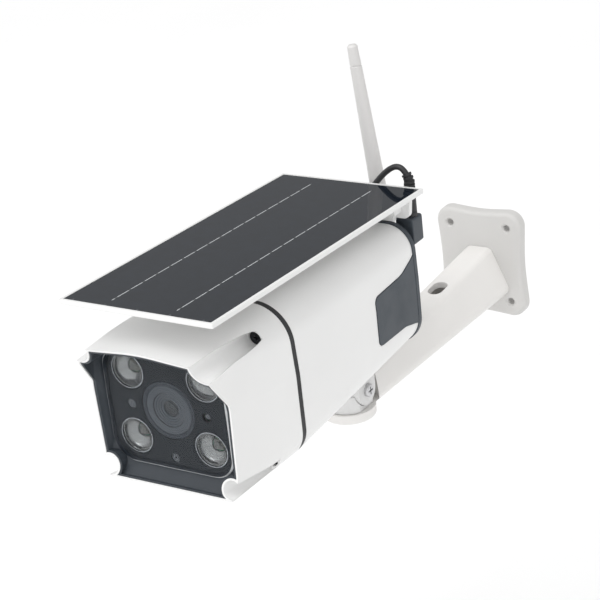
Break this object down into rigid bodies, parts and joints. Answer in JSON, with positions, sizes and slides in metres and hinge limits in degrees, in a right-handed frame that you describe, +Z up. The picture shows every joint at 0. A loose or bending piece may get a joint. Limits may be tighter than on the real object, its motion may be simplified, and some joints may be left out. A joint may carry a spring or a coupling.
{
  "type": "security camera",
  "caption": "Solar-powered bullet security camera with infrared lamps, a folding antenna and a pan and tilt wall arm.",
  "frame": {"origin": "centre of the wall plate's back face", "axes": "wall is the plane Y = 0, the camera looks along -Y, +Z is up"},
  "size_m": [0.1062, 0.4155, 0.2524],
  "materials": {
    "arm_white": "satin",
    "swivel_grey": "painted satin",
    "steel": "plain",
    "body_white": "satin",
    "gasket_black": "matte",
    "back_black": "satin",
    "face_black": "satin",
    "window_glass": "clear",
    "screw_black": "black coated",
    "mask_black": "gloss",
    "lens_grey": "painted satin",
    "sensor_dark": "gloss",
    "reflector_chrome": "mirror",
    "lamp_glass": "clear",
    "lamp_olive": "matte",
    "board_green": "satin",
    "cell_wrap": "satin wrap",
    "inner_black": "matte",
    "panel_white": "satin",
    "cell_blue": "gloss",
    "busbar_silver": "plain",
    "lead_black": "satin",
    "contact_brass": "plain",
    "antenna_white": "satin",
    "switch_grey": "matte"
  },
  "bodies": {
    "bracket": {"wall_bracket": "arm_white"},
    "swivel": {"swivel_head": "swivel_grey", "pan_bolt": "steel"},
    "camera": {"mount_foot": "swivel_grey", "tilt_bolt": "steel", "tilt_nut": "steel", "foot_screws": "steel", "front_cover": "body_white", "cover_screws": "screw_black", "body_gasket": "gasket_black", "main_shell": "body_white", "rear_cap": "back_black", "cap_screws": "steel", "face_bezel": "face_black", "face_window": "window_glass", "face_mask": "mask_black", "lamp_holders": "mask_black", "lamp_reflectors": "reflector_chrome", "lamp_lenses": "lamp_glass", "lamp_chips": "lamp_olive", "led_board": "board_green", "lens_shield": "face_black", "lens_face": "lens_grey", "lens_glass": "lamp_glass", "lens_barrel": "face_black", "lens_mount": "face_black", "camera_board": "board_green", "battery_cells": "cell_wrap", "battery_holder": "inner_black", "chassis": "inner_black", "main_board": "board_green", "speaker": "inner_black", "service_board": "board_green", "usb_socket": "steel", "card_socket": "steel", "panel_frame": "panel_white", "solar_cells": "cell_blue", "panel_busbars": "busbar_silver", "panel_bracket": "body_white", "bracket_screws": "steel", "panel_junction": "back_black", "lead_gland": "lead_black", "solar_lead": "lead_black", "lead_boot": "gasket_black", "dc_plug": "lead_black", "port_housing": "back_black", "dc_jack": "contact_brass", "antenna_socket": "contact_brass", "antenna_nut": "contact_brass", "light_sensor": "sensor_dark", "status_lamp": "sensor_dark", "microphone": "sensor_dark"},
    "antenna_foot": {"antenna_base": "antenna_white", "antenna_pin": "steel"},
    "antenna": {"antenna_whip": "antenna_white", "antenna_core": "contact_brass"},
    "flap": {"service_flap": "gasket_black"},
    "reset": {"reset_button": "back_black"},
    "switch": {"power_switch": "switch_grey"}
  },
  "joints": [
    {"name": "pan", "type": "hinge", "parent": "bracket", "child": "swivel", "pos_m": [0, -0.2055, 0], "axis": [0, 0, 1], "range_deg": [-90, 90]},
    {"name": "tilt", "type": "hinge", "parent": "swivel", "child": "camera", "pos_m": [0, -0.2055, -0.0093], "axis": [1, 0, 0], "range_deg": [-20, 22]},
    {"name": "antenna_turn", "type": "hinge", "parent": "camera", "child": "antenna_foot", "pos_m": [0.0116, -0.157, 0.091], "axis": [0, 1, 0], "range_deg": [-110, 110]},
    {"name": "antenna_fold", "type": "hinge", "parent": "antenna_foot", "child": "antenna", "pos_m": [0.0116, -0.157, 0.091], "axis": [-0.9952, 0, -0.0976], "range_deg": [0, 90]},
    {"name": "flap_hinge", "type": "hinge", "parent": "camera", "child": "flap", "pos_m": [0, -0.1705, 0.041], "axis": [-1, 0, 0], "range_deg": [0, 110]},
    {"name": "reset_press", "type": "slide", "parent": "camera", "child": "reset", "axis": [0, -1, 0], "range_m": [0, 0.001], "stiffness_N_per_m": 400},
    {"name": "switch_slide", "type": "slide", "parent": "camera", "child": "switch", "axis": [1, 0, 0], "range_m": [0, 0.006]}
  ]
}
